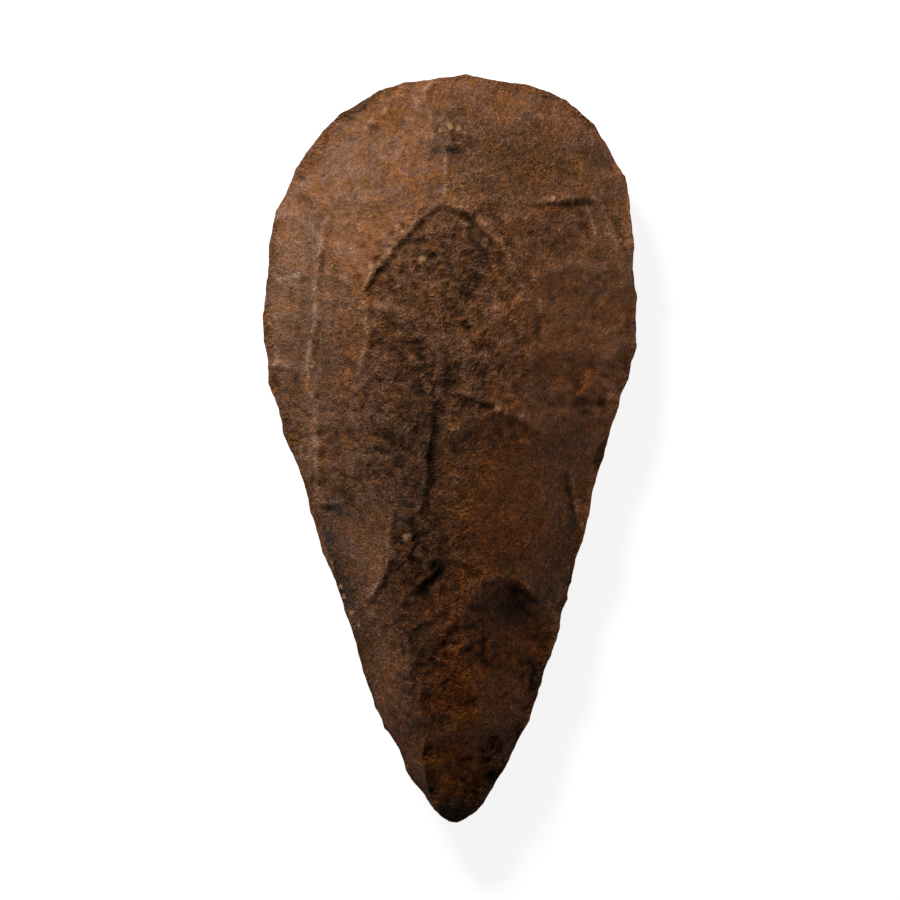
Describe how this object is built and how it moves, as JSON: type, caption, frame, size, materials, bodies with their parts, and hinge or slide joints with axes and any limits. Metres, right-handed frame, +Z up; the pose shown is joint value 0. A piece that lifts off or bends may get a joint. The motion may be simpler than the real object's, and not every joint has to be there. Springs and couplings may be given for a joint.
{
  "type": "stone hand axe",
  "caption": "Flaked stone hand axe with a round butt, a blunt point and a sinuous edge all round, lying on its flatter face.",
  "frame": {"origin": "on the ground under the middle of the outline", "axes": "+Z up, +Y towards the round butt, -Y towards the point"},
  "size_m": [0.0936, 0.1864, 0.0434],
  "materials": {
    "quartzite": "weathered brown quartzite, matt and fine grained, with rusty and grey patches and paler worn ridges"
  },
  "bodies": {
    "root": {"hand_axe": "quartzite"}
  },
  "joints": []
}
